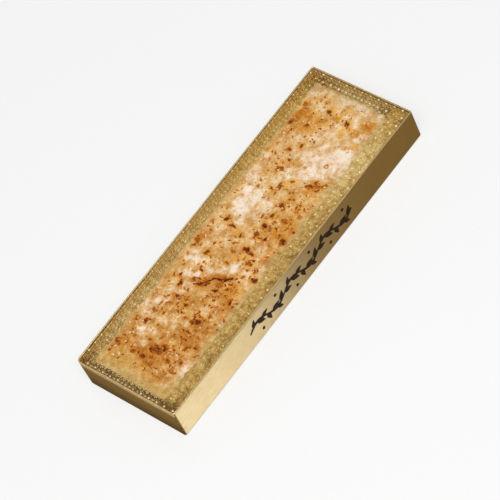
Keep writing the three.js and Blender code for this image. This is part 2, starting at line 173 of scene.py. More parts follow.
# The largest toasted spots in the same form, with a darkness for the strength
BROWN_SPOTS = (
    (9, -90.6, 3.4, 1.8, 0.34), (0.6, -86, 3.4, 2.4, 0.46), (-25.2, -83.6, 2.6, 1.3, 0.62),
    (-13.8, -83.6, 1.7, 1.7, 0.6), (-6.9, -83.6, 2.6, 2, 0.72), (5, -83, 3, 2.6, 0.27),
    (-2.4, -82.2, 3, 1.8, 0.5), (8, -80, 2, 2, 0.5), (-0.6, -79, 0.6, 0.6, 0.8),
    (-5, -78.4, 0.8, 0.8, 0.9), (-2.4, -77, 4.6, 3.4, 0.6), (14.5, -77, 1.4, 2, 0.62),
    (-1.8, -76, 1.1, 0.8, 0.95), (-4.2, -74.8, 0.6, 0.7, 0.85), (0.8, -74.4, 0.8, 1.2, 0.9),
    (0.4, -74, 3.2, 2.4, 0.62), (11.9, -68.9, 1.6, 1.5, 0.62), (16.2, -66.4, 1.4, 1.2, 0.65),
    (-19.1, -65.7, 1.2, 1.7, 0.72), (7, -65, 1.6, 1.4, 0.5), (6.2, -60.7, 1.9, 0.8, 0.8),
    (5, -55, 2, 1.6, 0.66), (7.2, -53.2, 2, 1.5, 0.8), (3.8, -52, 0.8, 1.2, 0.8),
    (-5.2, -47.9, 1.9, 1.5, 0.72), (-13.8, -45.7, 1.6, 1.4, 0.9), (-17.4, -38.2, 1.3, 2.1, 0.85),
    (15.5, -37, 3, 3, 0.27), (15.5, -35.7, 0.8, 1.7, 0.95), (-19.9, -34.3, 1, 1.1, 0.75),
    (-6.8, -34, 2.2, 2.4, 0.56), (3.4, -33.6, 1.7, 0.9, 0.85), (-4.6, -31.6, 3.6, 3.6, 0.46),
    (-3, -31, 1.8, 2.2, 0.5), (3, -30, 3, 2.4, 0.46), (12, -29, 4, 4, 0.27), (1.4, -26.6, 4.4, 2.8, 0.46),
    (3.4, -25.6, 1.8, 2.2, 0.56), (19.1, -18.4, 1.8, 1.7, 0.9), (-15.9, -15.7, 1.5, 1.6, 0.75),
    (-25.5, -13, 2, 2.4, 0.5), (11.2, -9.3, 1.6, 0.8, 0.88), (2.6, -5, 2, 2.1, 0.86),
    (-5.9, 0.7, 1.1, 1.5, 0.75), (-12.5, 3, 2.8, 1, 0.68), (2, 4.4, 1.4, 1.2, 0.55),
    (8.4, 5, 1, 1.8, 0.85), (-19.1, 5.7, 2, 1.6, 0.78), (18.4, 8.2, 2.1, 2, 0.8),
    (3, 11.8, 1.7, 1.3, 0.86), (19.4, 15.4, 0.9, 1.4, 0.9), (3.4, 18.4, 1.4, 1.3, 0.5),
    (11, 18.6, 2.8, 1.7, 0.55), (17, 24.5, 1.5, 1.5, 0.4), (2.6, 26, 1.5, 1.1, 0.66),
    (13.4, 27.5, 2, 2, 0.4), (6.4, 32, 1.3, 1.3, 0.48), (12.6, 43.4, 3.6, 2.8, 0.36),
    (-15.6, 57, 1.3, 1.2, 0.65), (-10.6, 62, 1.3, 2, 0.68), (-26, 71.8, 1.3, 2.8, 0.66),
    (-25, 79, 2.4, 2.4, 0.36), (3.7, 84.6, 1.7, 1.7, 0.82), (-26, 85.5, 1.4, 2.6, 0.42),
    (-9.9, 86.8, 1.6, 1.4, 0.72), (-15, 91.5, 2, 1.8, 0.34),
)
# Smaller spots by a rule, as (how many, least and most half size, least and most darkness)
SMALL_SPOTS = ((150, 0.7, 1.3, 0.3, 0.66), (230, 0.4, 0.65, 0.45, 0.85))
# Lines of darker caramel as (places along the line, half width, darkness). The first is the crack.
CARAMEL_LINES = (
    (((-9.9, -35.6), (-6.6, -33.2), (-4.5, -31.2), (-1.4, -27.6), (2.6, -25.8), (7, -23.2)), 1.15, 0.95),
    (((2.0, -33.2), (4.4, -32.6)), 1.2, 0.85),
    (((8.6, 42.0), (12.4, 43.6), (18.0, 46.4)), 3.8, 0.42),
    (((8.2, 42.4), (10.6, 43.4)), 1.5, 0.85),
    (((2.6, -87.6), (6.4, -90.0), (10.2, -89.4), (12.0, -86.4)), 1.2, 0.45),
    (((10.0, -71.0), (6.5, -66.0)), 1.0, 0.5),
    (((4.4, -53.0), (3.6, -50.6), (4.6, -47.2)), 0.9, 0.62),
    (((13.5, -80.5), (20.8, -91.0)), 0.5, 0.3),
)

# The garland printed on the long wall: its ends, middle height, wave length, swing, and how far the ink
# stands over the foil and reaches into it
GARLAND_LOW, GARLAND_HIGH = -44.0, 45.0
GARLAND_MIDDLE = 10.7
GARLAND_WAVE = 29.67
GARLAND_SWING = 3.2
INK_TOP, INK_FOOT = 0.1, -0.2

# Seeds of the random draws
SPOT_SEED, PEARL_SEED = 17, 5

# The studio: colours of the sky from straight down to straight up, and how far the floor glows by itself
SKY = (
    (0.0, (0.2, 0.15, 0.075, 1)), (0.24, (0.2, 0.15, 0.075, 1)), (0.47, (0.36, 0.32, 0.24, 1)),
    (0.53, (0.5, 0.5, 0.5, 1)), (1.0, (0.5, 0.5, 0.5, 1)),
)
FLOOR_GLOW = 0.68
# Lamps as (name, place, target, size, watts, colour), in metres. The low one grades the long gold wall.
LAMPS = (
    ("high_softbox", (0.42, -0.28, 0.88), (0, 0, 0.02), (0.5, 0.5), 6.5, (1, 1, 1)),
    ("glint_light", (-0.54, 0.29, 0.80), (0, 0, 0.02), (0.14, 0.14), 0.3, (1, 1, 1)),
    ("low_light", (0.19, -0.032, -0.235), (0.034, -0.117, 0.012), (0.18, 0.16), 0.166, (0.64, 0.745, 1)),
)
# Tint of the shine on food
WARM_GLOSS = (1.0, 0.82, 0.6, 1.0)

# The camera that the photograph's perspective gives
CAMERA_AZIMUTH, CAMERA_ELEVATION, CAMERA_ROLL = 61.33, 52.30, 28.29
CAMERA_AIM = (4.88, -4.33, 16.4)
CAMERA_DISTANCE = 1574.3
CAMERA_LENS, CAMERA_SENSOR = 216.0, 36.0


def lattice(i, j, layer):
    """Repeatable numbers between 0 and 1 for whole-number cells."""
    value = np.sin(i * 127.1 + j * 311.7 + (layer + 41) * 74.7) * 43758.5453
    return value - np.floor(value)


def smoothstep(value, low, high):
    """0 below low, 1 above high, and smooth between them."""
    share = np.clip((value - low) / (high - low), 0, 1)
    return share * share * (3 - 2 * share)


def noise(x, y, cell, layer):
    """Smooth value noise between -1 and 1."""
    i, j = np.floor(x / cell), np.floor(y / cell)
    u, v = smoothstep(x / cell - i, 0, 1), smoothstep(y / cell - j, 0, 1)
    lower = lattice(i, j, layer) * (1 - u) + lattice(i + 1, j, layer) * u
    upper = lattice(i, j + 1, layer) * (1 - u) + lattice(i + 1, j + 1, layer) * u
    return 2 * (lower * (1 - v) + upper * v) - 1


def cloud(x, y, cell, layer, octaves=3):
    """Noise with finer and finer parts, each turned by its own angle, about -1 to 1."""
    total = 0
    for k in range(octaves):
        angle = 0.6 + 0.9 * k
        across = x * math.cos(angle) + y * math.sin(angle)
        along = y * math.cos(angle) - x * math.sin(angle)
        total = total + noise(across, along, cell / 2 ** k, layer + 10 * k) / 2 ** k
    return total / (2 - 2 / 2 ** octaves)


def crumbs(x, y, cell, layer):
    """Height 0 to 1 of rounded crumbs packed side by side."""
    i0, j0 = np.floor(x / cell), np.floor(y / cell)
    nearest = np.full(x.shape, 9.0)
    for di in (-1, 0, 1):
        for dj in (-1, 0, 1):
            i, j = i0 + di, j0 + dj
            px = (i + 0.15 + 0.7 * lattice(i, j, layer)) * cell
            py = (j + 0.15 + 0.7 * lattice(i, j, layer + 1)) * cell
            size = 0.65 + 0.6 * lattice(i, j, layer + 2)
            nearest = np.minimum(nearest, np.hypot(x - px, y - py) / (cell * size))
    return np.sqrt(np.clip(1 - nearest ** 2, 0, 1))


def patch(x, y, place, core=0.2, rim=1.35):
    """1 in the middle of an elliptical patch and 0 outside it, with its strength left out."""
    px, py, across, along, _ = place
    return 1 - smoothstep(np.hypot((x - px) / across, (y - py) / along), core, rim)


def patches(x, y, places, ragged, layer):
    """The strongest of several patches, with edges that noise makes ragged."""
    wx = x + ragged * (cloud(x, y, 8, layer) + 0.6 * cloud(x, y, 3, layer + 2))
    wy = y + ragged * (cloud(x, y, 8, layer + 5) + 0.6 * cloud(x, y, 3, layer + 7))
    total = np.zeros(x.shape)
    for place in places:
        total = np.maximum(total, place[4] * patch(wx, wy, place))
    return total


def whiteness(x, y):
    """How white the paste is, 0 to 1."""
    return patches(x, y, WHITE_PATCHES, 1.3, 31)


def beside_route(x, y, route):
    """Distance from a line of a few straight runs."""
    nearest = np.full(x.shape, 99.0)
    for start, stop in zip(route, route[1:]):
        run = np.subtract(stop, start)
        away = np.stack([x - start[0], y - start[1]], -1)
        share = np.clip(away @ run / (run @ run), 0, 1)
        nearest = np.minimum(nearest, np.linalg.norm(away - share[..., None] * run, axis=-1))
    return nearest


def line_share(x, y, route, half_width):
    """1 on a wandering line and 0 beyond its half width."""
    wx = x + 0.7 * noise(x, y, 2.6, 7) + 0.3 * noise(x, y, 1.1, 8)
    wy = y + 0.7 * noise(x, y, 2.6, 9) + 0.3 * noise(x, y, 1.1, 10)
    width = half_width * (0.85 + 0.45 * noise(x, y, 2.2, 11))
    return 1 - smoothstep(beside_route(wx, wy, route) / width, 0.15, 1.0)


def crack_share(x, y):
    """How deep in the crack a place is, 0 to 1."""
    route, half_width, _ = CARAMEL_LINES[0]
    return line_share(x, y, route, half_width)


def inside_by(x, y):
    """Distance in from the crown's rounded outline."""
    dx = np.abs(x - (CROWN_LEFT + CROWN_RIGHT) / 2) - (CROWN_RIGHT - CROWN_LEFT) / 2 + CROWN_CORNER
    dy = np.abs(y - (CROWN_NEAR + CROWN_FAR) / 2) - (CROWN_FAR - CROWN_NEAR) / 2 + CROWN_CORNER
    outside = np.hypot(np.maximum(dx, 0), np.maximum(dy, 0))
    return CROWN_CORNER - outside - np.minimum(np.maximum(dx, dy), 0)


def syrup_share(x, y):
    """Where the top is smooth, wet syrup: the pool near the left corner and the near edge."""
    pool = patches(x, y, (SYRUP_POOL[:4] + (1.0,), HALF_WET), 2.0, 60)
    near_edge = 1 - smoothstep(y + 1.5 * noise(x, y, 6, 61), BAND_NEAR + 4, BAND_NEAR + 8)
    return np.maximum(pool, near_edge)


def toasted_spots():
    """Every toasted spot as (x, y, half sizes, turn, darkness): the large ones, then the smaller ones."""
    draw = np.random.default_rng(SPOT_SEED)
    spots = [(x, y, across, along, 0.0, dark) for x, y, across, along, dark in BROWN_SPOTS]
    for count, least, most, palest, darkest in SMALL_SPOTS:
        placed = 0
        while placed < count:
            x = draw.uniform(BAND_LEFT + 2.5, BAND_RIGHT - 0.5)
            y = draw.uniform(BAND_NEAR + 9, BAND_FAR - 7)
            size, dark, chance = draw.uniform(least, most), draw.uniform(palest, darkest), draw.uniform()
            shape, turn = draw.uniform(1.0, 1.9), draw.uniform(0, np.pi)
            place = np.array([x]), np.array([y])
            likely = 0.3 + 0.4 * patches(*place, AMBER_PATCHES, 1, 30)[0]
            likely += 0.4 * cloud(*place, 9, 33)[0] - 0.7 * patches(*place, WHITE_PATCHES, 1, 31)[0]
            likely -= 0.003 * (y + 20)
            likely *= 1 - 0.95 * syrup_share(*place)[0]
            if chance < likely:
                spots.append((x, y, size, size * shape, turn, dark))
                placed += 1
    return spots


def stamp_spots(x, y, xs, ys, spots):
    """Darkness 0 to 1 of the toasted spots, and the golden halo round them, on a grid of points."""
    dark = np.zeros(x.shape)
    halo = np.zeros(x.shape)
    warp_x = x + 0.8 * noise(x, y, 2.1, 50) + 0.4 * noise(x, y, 0.9, 52)
    warp_y = y + 0.8 * noise(x, y, 2.1, 51) + 0.4 * noise(x, y, 0.9, 53)
    for px, py, across, along, turn, strength in spots:
        reach = 3.5 * max(across, along)
        i0, i1 = np.searchsorted(xs, (px - reach, px + reach))
        j0, j1 = np.searchsorted(ys, (py - reach, py + reach))
        window = (slice(j0, j1), slice(i0, i1))
        dx, dy = warp_x[window] - px, warp_y[window] - py
        u = (dx * math.cos(turn) + dy * math.sin(turn)) / across
        v = (dy * math.cos(turn) - dx * math.sin(turn)) / along
        distance = np.hypot(u, v)
        dark[window] = np.maximum(dark[window], strength * (1 - smoothstep(distance, 0.3, 1.5)))
        halo[window] = np.maximum(halo[window], strength * (1 - smoothstep(distance, 0.8, 3.2)))
    return dark, halo


def crown_height(x, y, dark):
    """Height of the nougat's top: shoulder, lumps, dips and crack as in the solid, then crumb and grain."""
    share = np.clip(inside_by(x, y) / SHOULDER, 0, 1)
    shoulder = np.sqrt(np.clip(1 - (1 - share) ** 2, 0, 1))
    z = CROWN_EDGE + (CROWN_TOP - CROWN_EDGE) * shoulder
    rough = shoulder * (1 - 0.85 * syrup_share(x, y))
    for cell, height, layer in LUMPS:
        z = z + rough * height * noise(x, y, cell, layer)
    for place in MOUNDS + (BURNT, SYRUP_POOL):
        z = z + shoulder * place[4] * patch(x, y, place)
    z = z - CRACK_DEPTH * crack_share(x, y)
    white = whiteness(x, y)
    crumb = sum(height * (crumbs(x, y, cell, layer) - CRUMB_LEVEL) for cell, height, layer in CRUMBS)
    z = z + rough * (1 - 0.5 * white) * crumb
    z = z + rough * 0.3 * cloud(x, y, 2.0, 80, 3) + rough * 0.35 * white * cloud(x, y, 4.5, 82, 4)
    return np.minimum(z - 0.4 * dark * rough, CROWN_LIMIT)


def make_mesh(name, points, faces, smooth=True, values=None):
    """A new object from points in millimetres and a list of faces, with numbers stored on its points."""
    mesh = bpy.data.meshes.new(name)
    mesh.from_pydata(np.asarray(points, float) * MM, [], faces)
    mesh.update()
    if smooth:
        mesh.shade_smooth()
    for label, numbers in (values or {}).items():
        layer = mesh.attributes.new(label, "FLOAT", "POINT")
        layer.data.foreach_set("value", np.asarray(numbers, np.float32))
    piece = bpy.data.objects.new(name, mesh)
    bpy.context.scene.collection.objects.link(piece)
    return piece


def dress(piece, slot, material, *nodes):
    """Give a piece its material and body, and hide the solids that it stands for."""
    piece.data.materials.clear()
    piece.data.materials.append(material)
    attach(piece, "root")
    if nodes:
        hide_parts(*nodes)
    return piece


def grid_faces(rows, columns, wrap=False):
    """Quads of a grid of points stored row by row; wrap closes each row on itself."""
    across = columns if wrap else columns - 1
    j, i = np.meshgrid(np.arange(rows - 1), np.arange(across), indexing="ij")
    k = (i + 1) % columns
    quads = np.stack([j * columns + i, j * columns + k, (j + 1) * columns + k, (j + 1) * columns + i], -1)
    return quads.reshape(-1, 4).tolist()


def ring_faces(first, second):
    """Quads between two closed loops of point numbers."""
    return np.stack([first, np.roll(first, -1), np.roll(second, -1), second], -1).tolist()


def padded(fields, extra):
    """Each field of a grid as one row of numbers, with zeros for the extra points that follow the grid."""
    return {label: np.concatenate([np.ravel(field), np.zeros(extra)]) for label, field in fields.items()}


def rounded_loop(left, right, near, far, radii, steps, arc=8):
    """Closed loop of points round a rectangle with rounded corners, counter-clockwise from the near left."""
    near_left, near_right, far_right, far_left = radii
    corners = (
        (left + near_left, near + near_left, near_left, 180),
        (right - near_right, near + near_right, near_right, 270),
        (right - far_right, far - far_right, far_right, 0),
        (left + far_left, far - far_left, far_left, 90),
    )
    points = []
    for k, (cx, cy, radius, start) in enumerate(corners):
        turn = np.radians(np.linspace(start, start + 90, arc))
        points.append(np.stack([cx + radius * np.cos(turn), cy + radius * np.sin(turn)], -1))
        nx, ny, next_radius, next_start = corners[(k + 1) % 4]
        angle = math.radians(next_start)
        end = np.array([nx + next_radius * math.cos(angle), ny + next_radius * math.sin(angle)])
        count = steps[k % 2]
        share = (np.arange(1, count) / count)[:, None]
        points.append(points[-1][-1] * (1 - share) + end * share)
    return np.concatenate(points)


class Nodes:
    """The nodes of one material, with short ways to add the usual ones."""

    def __init__(self, name):
        self.material = bpy.data.materials.new(name)
        self.material.use_nodes = True
        self.tree = self.material.node_tree
        self.shader = self.tree.nodes["Principled BSDF"]
        self.place = self.tree.nodes.new("ShaderNodeTexCoord").outputs["Object"]

    def set(self, **values):
        """Set constant numbers on the shader's own sockets; _ in a name stands for a space."""
        for name, value in values.items():
            self.shader.inputs[name.replace("_", " ")].default_value = value

    def link(self, source, socket):
        """Feed one of the shader's sockets."""
        self.tree.links.new(source, self.shader.inputs[socket])

    def feed(self, socket, value):
        """Put a number, a colour or another node's output on a socket."""
        if isinstance(value, bpy.types.NodeSocket):
            self.tree.links.new(value, socket)
        elif value is not None:
            socket.default_value = value

    def number(self, attribute):
        """A number stored on the mesh."""
        node = self.tree.nodes.new("ShaderNodeAttribute")
        node.attribute_name = attribute
        return node.outputs["Fac"]

    def noise(self, size_mm, detail, roughness, stretch=(1, 1, 1)):
        """Noise from 0 to 1 with features of about the given size."""
        scaled = self.tree.nodes.new("ShaderNodeVectorMath")
        scaled.operation = "MULTIPLY"
        self.tree.links.new(self.place, scaled.inputs[0])
        scaled.inputs[1].default_value = stretch
        node = self.tree.nodes.new("ShaderNodeTexNoise")
        self.tree.links.new(scaled.outputs[0], node.inputs["Vector"])
        node.inputs["Scale"].default_value = 1 / (size_mm * MM)
        node.inputs["Detail"].default_value = detail
        node.inputs["Roughness"].default_value = roughness
        return node.outputs["Fac"]

    def spread(self, value, low, high, to_low=0.0, to_high=1.0):
        """Stretch a range of numbers smoothly onto another."""
        node = self.tree.nodes.new("ShaderNodeMapRange")
        node.interpolation_type = "SMOOTHSTEP"
        self.feed(node.inputs["Value"], value)
        for name, number in (("From Min", low), ("From Max", high), ("To Min", to_low), ("To Max", to_high)):
            node.inputs[name].default_value = number
        return node.outputs["Result"]

    def maths(self, operation, first, second, clamp=False):
        """One arithmetic step."""
        node = self.tree.nodes.new("ShaderNodeMath")
        node.operation = operation
        node.use_clamp = clamp
        for socket, value in zip(node.inputs, (first, second)):
            self.feed(socket, value)
        return node.outputs["Value"]

    def mix(self, share, first, second, blend="MIX"):
        """Mix two colours. The node's sockets for colours come after those for numbers and vectors."""
        node = self.tree.nodes.new("ShaderNodeMix")
        node.data_type = "RGBA"
        node.blend_type = blend
        self.feed(node.inputs["Factor"], share)
        self.feed(node.inputs[6], first)
        self.feed(node.inputs[7], second)
        return node.outputs[2]

    def ramp(self, value, *stops):
        """Colours at places along a number from 0 to 1."""
        node = self.tree.nodes.new("ShaderNodeValToRGB")
        elements = node.color_ramp.elements
        while len(elements) < len(stops):
            elements.new(0.5)
        for element, (place, colour) in zip(elements, stops):
            element.position = place
            element.color = colour
        self.feed(node.inputs["Fac"], value)
        return node.outputs["Color"]

    def shades(self, value, *stops):
        """The same with each stop as (place, red, green, blue), in colours as the eye reads them."""
        return self.ramp(value, *((place, srgb(*colour)) for place, *colour in stops))

    def bump(self, height, depth_mm, strength=1.0, under=None):
        """Fine relief from a number from 0 to 1."""
        node = self.tree.nodes.new("ShaderNodeBump")
        node.inputs["Strength"].default_value = strength
        node.inputs["Distance"].default_value = depth_mm * MM
        self.feed(node.inputs["Height"], height)
        self.feed(node.inputs["Normal"], under)
        return node.outputs["Normal"]


def srgb(red, green, blue):
    """A colour as the eye reads it, 0 to 255, turned to the numbers that light works with."""
    channels = [value / 255 for value in (red, green, blue)]
    linear = [c / 12.92 if c <= 0.04045 else ((c + 0.055) / 1.055) ** 2.4 for c in channels]
    return (*linear, 1.0)


def nougat_material():
    """Tan nougat with white and amber patches, toasted nearly to black in spots, wet where the syrup lies."""
    paste = Nodes("nougat_paste")
    toast, white, amber, haze = (paste.number(name) for name in ("toast", "white", "amber", "haze"))
    syrup, gilt, clump = (paste.number(name) for name in ("syrup", "gilt", "tone"))
    coarse, fine = paste.noise(3.0, 4, 0.65), paste.noise(0.9, 4, 0.65)
    tone = paste.maths("ADD", clump, paste.spread(coarse, 0.3, 0.7, -0.17, 0.17), clamp=True)
    tan = paste.shades(
        tone,
        (0.1, 184, 120, 48), (0.34, 212, 156, 84), (0.52, 230, 184, 120),
        (0.7, 244, 210, 160), (0.9, 254, 232, 200),
    )
    caramel = paste.shades(tone, (0.15, 178, 98, 12), (0.5, 218, 144, 38), (0.85, 242, 188, 92))
    cream = paste.shades(tone, (0.1, 220, 168, 108), (0.38, 240, 206, 164), (0.66, 255, 236, 214))
    ragged = paste.spread(coarse, 0.3, 0.7, -0.16, 0.16)
    caramel_share = paste.spread(paste.maths("ADD", amber, ragged), 0.1, 0.9, 0.0, 0.88)
    cream_share = paste.spread(paste.maths("ADD", white, ragged), 0.1, 0.9, 0.0, 0.94)
    colour = paste.mix(caramel_share, tan, caramel)
    colour = paste.mix(cream_share, colour, cream)
    speckle = paste.spread(paste.noise(0.9, 3, 0.65), 0.3, 0.72, -0.2, 0.17)
    speckled = paste.maths("ADD", toast, speckle, clamp=True)
    browned = paste.shades(
        speckled,
        (0.16, 212, 150, 68), (0.32, 194, 118, 36), (0.5, 160, 82, 22),
        (0.68, 118, 52, 12), (0.9, 72, 30, 8),
    )
    colour = paste.mix(paste.spread(speckled, 0.1, 0.34), colour, browned)
    pool = paste.shades(coarse, (0.3, 186, 132, 54), (0.5, 210, 162, 84), (0.7, 228, 194, 122))
    colour = paste.mix(paste.maths("MULTIPLY", syrup, paste.spread(speckled, 0.5, 0.2)), colour, pool)
    veil = paste.shades(coarse, (0.34, 196, 162, 112), (0.66, 232, 206, 166))
    colour = paste.mix(paste.maths("MULTIPLY", haze, 0.66), colour, veil)
    film = paste.shades(coarse, (0.3, 182, 147, 88), (0.5, 202, 170, 108), (0.7, 221, 193, 134))
    colour = paste.mix(gilt, colour, film)
    grain = paste.ramp(fine, (0.28, (0.6, 0.6, 0.6, 1)), (0.5, (0.9, 0.9, 0.9, 1)), (0.66, (1, 1, 1, 1)))
    colour = paste.mix(0.75, colour, paste.mix(1.0, colour, grain, "MULTIPLY"))
    paste.link(colour, "Base Color")
    paste.link(paste.maths("SUBTRACT", 0.6, paste.maths("MULTIPLY", syrup, 0.34)), "Roughness")
    relief = paste.bump(paste.noise(0.5, 4, 0.7), 0.25, 0.8)
    paste.link(paste.bump(coarse, 0.5, 0.5, relief), "Normal")
    paste.set(
        Subsurface_Weight=0.1, Subsurface_Radius=(1.0, 0.5, 0.25), Subsurface_Scale=0.0012,
        Specular_IOR_Level=0.1, Specular_Tint=WARM_GLOSS, Coat_Weight=0.02, Coat_Roughness=0.18,
    )
    return paste.material


def gold_paper_material():
    """Embossed gold foil paper: painted light on its beads, painted shade in its hollows, painted light and
    shade by side, painted glints, and soaked where it is soft.
    """
    paper = Nodes("gold_paper")
    height, soft, painted_light_and_tone, warm = (paper.number(name) for name in ("height", "soft", "painted_light_and_tone", "warm"))
    tarnish, fine = paper.noise(2.4, 4, 0.65), paper.noise(0.8, 3, 0.6)
    # Painted light and shade: the stored lightness, with a random tarnish, picks the colours below
    lit = paper.maths("ADD", painted_light_and_tone, paper.spread(tarnish, 0.3, 0.7, -0.24, 0.24), clamp=True)
    # Painted light on the raised beads and painted shade in the hollows, chosen by the height of the relief
    painted_bead_light = paper.shades(lit, (0.1, 204, 168, 104), (0.5, 236, 206, 144), (0.9, 255, 236, 186))
    painted_hollow_shade = paper.shades(lit, (0.1, 72, 48, 14), (0.5, 112, 82, 30), (0.9, 156, 120, 58))
    crisp = paper.mix(paper.spread(height, 0.08, 0.6), painted_hollow_shade, painted_bead_light)
    # The soaked paper too is painted darker where low and lighter where high
    soaked_low = paper.shades(lit, (0.1, 138, 102, 38), (0.5, 194, 154, 78), (0.9, 230, 200, 130))
    soaked_high = paper.shades(lit, (0.1, 196, 160, 88), (0.5, 232, 200, 130), (0.9, 252, 230, 174))
    soaked = paper.mix(paper.spread(height, 0.3, 1.0, 0.0, 0.9), soaked_low, soaked_high)
    colour = paper.mix(soft, crisp, soaked)
    colour = paper.mix(warm, colour, paper.mix(1.0, colour, (1.0, 0.94, 0.66, 1), "MULTIPLY"))
    grain = paper.ramp(
        fine, (0.3, (0.5, 0.48, 0.43, 1)), (0.48, (0.92, 0.92, 0.92, 1)), (0.62, (1.12, 1.12, 1.12, 1)))
    colour = paper.mix(0.75, colour, paper.mix(1.0, colour, grain, "MULTIPLY"))
    # Painted glints: small pale flecks of colour stand in for sparkles of light
    painted_glints = paper.spread(paper.noise(0.6, 2, 0.5), 0.62, 0.7, 0.0, 0.7)
    paper.link(paper.mix(painted_glints, colour, srgb(252, 230, 178)), "Base Color")
    paper.link(paper.spread(height, 0.1, 0.8, 0.55, 0.3), "Roughness")
    paper.link(paper.bump(fine, 0.12, 0.6), "Normal")
    paper.set(Metallic=0.3, Specular_IOR_Level=0.35)
    return paper.material


def gold_card_material():
    """Satin gold foil on card, with a faint grain, a duller folded rim, painted shade low on the near wall
    and on the right rim, and painted light on the near wall's upper strip.
    """
    foil = Nodes("gold_card")
    rim, strip, foot = foil.number("rim"), foil.number("strip"), foil.number("foot")
    drift = foil.noise(38, 2, 0.5)
    fine = foil.noise(0.6, 3, 0.6, stretch=(1, 0.15, 1))
    face = foil.shades(drift, (0.3, 230, 197, 132), (0.7, 238, 207, 143))
    face = foil.mix(foil.spread(fine, 0.3, 0.75, 0.0, 0.14), face, srgb(170, 132, 70))
    # Painted shade: the stored foot share darkens the foil low on the near wall and along the right rim
    # towards the far end
    painted_shade_colour = foil.shades(foil.noise(9, 3, 0.6), (0.3, 104, 78, 36), (0.7, 146, 112, 58))
    face = foil.mix(foil.maths("MULTIPLY", foot, 0.8), face, painted_shade_colour)
    face = foil.mix(rim, face, srgb(222, 196, 142))
    # Painted light on the upper strip of the near wall: a paler, less metallic colour stands in for the light
    # its bent top catches
    painted_rim_light = foil.shades(foil.noise(1.6, 3, 0.6), (0.3, 180, 150, 94), (0.7, 220, 190, 134))
    foil.link(foil.mix(strip, face, painted_rim_light), "Base Color")
    foil.link(foil.spread(strip, 0.0, 1.0, 1.0, 0.15), "Metallic")
    foil.link(foil.spread(fine, 0.2, 0.8, 0.32, 0.42), "Roughness")
    dents = foil.bump(foil.noise(14, 2, 0.5), 0.25, 0.5)
    foil.link(foil.bump(fine, 0.02, 0.6, dents), "Normal")
    return foil.material


def print_material():
    """Dark brown printing ink on the foil."""
    ink = Nodes("brown_print")
    wear = ink.noise(0.8, 3, 0.6)
    ink.link(ink.shades(wear, (0.35, 30, 17, 6), (0.75, 60, 38, 16)), "Base Color")
    ink.link(ink.spread(wear, 0.3, 0.8, 0.5, 0.65), "Roughness")
    ink.link(ink.bump(wear, 0.02, 0.4), "Normal")
    ink.set(Specular_IOR_Level=0.15)
    return ink.material


def crumb_material(name, low, high, roughness, subsurface):
    """One kind of loose crumb, each one of its own tone."""
    crumb = Nodes(name)
    tone = crumb.number("tone")
    shade = crumb.maths("ADD", tone, crumb.spread(crumb.noise(0.5, 3, 0.6), 0.3, 0.7, -0.2, 0.2), clamp=True)
    crumb.link(crumb.ramp(shade, (0.0, low), (1.0, high)), "Base Color")
    crumb.link(crumb.bump(crumb.noise(0.25, 2, 0.6), 0.06, 0.6), "Normal")
    crumb.set(
        Roughness=roughness, Subsurface_Weight=subsurface, Subsurface_Scale=0.001,
        Specular_IOR_Level=0.16, Specular_Tint=WARM_GLOSS,
    )
    return crumb.material


def floor_material():
    """Plain pale studio paper."""
    paper = Nodes("pale_floor")
    tooth = paper.noise(2.0, 3, 0.5)
    paper.link(paper.ramp(tooth, (0.3, (0.24, 0.24, 0.24, 1)), (0.7, (0.25, 0.25, 0.25, 1))), "Base Color")
    paper.link(paper.bump(tooth, 0.01, 0.1), "Normal")
    paper.set(Roughness=0.9, Specular_IOR_Level=0.1)
    paper.set(Emission_Color=(1, 1, 1, 1), Emission_Strength=FLOOR_GLOW)
    return paper.material


def gold_film(x, y):
    """How far the dull gold of the border runs over each edge of the crown."""
    left = 1 - smoothstep(x, BAND_LEFT - 0.2, BAND_LEFT + 3.8)
    right = smoothstep(x, BAND_RIGHT - 3.0, BAND_RIGHT + 0.4)
    near = 1 - smoothstep(y, BAND_NEAR + 2.4, BAND_NEAR + 6.5)
    far = smoothstep(y, BAND_FAR - 1.2, BAND_FAR + 0.6)
    return np.maximum.reduce([0.6 * left, 0.9 * right, 0.7 * near, far])


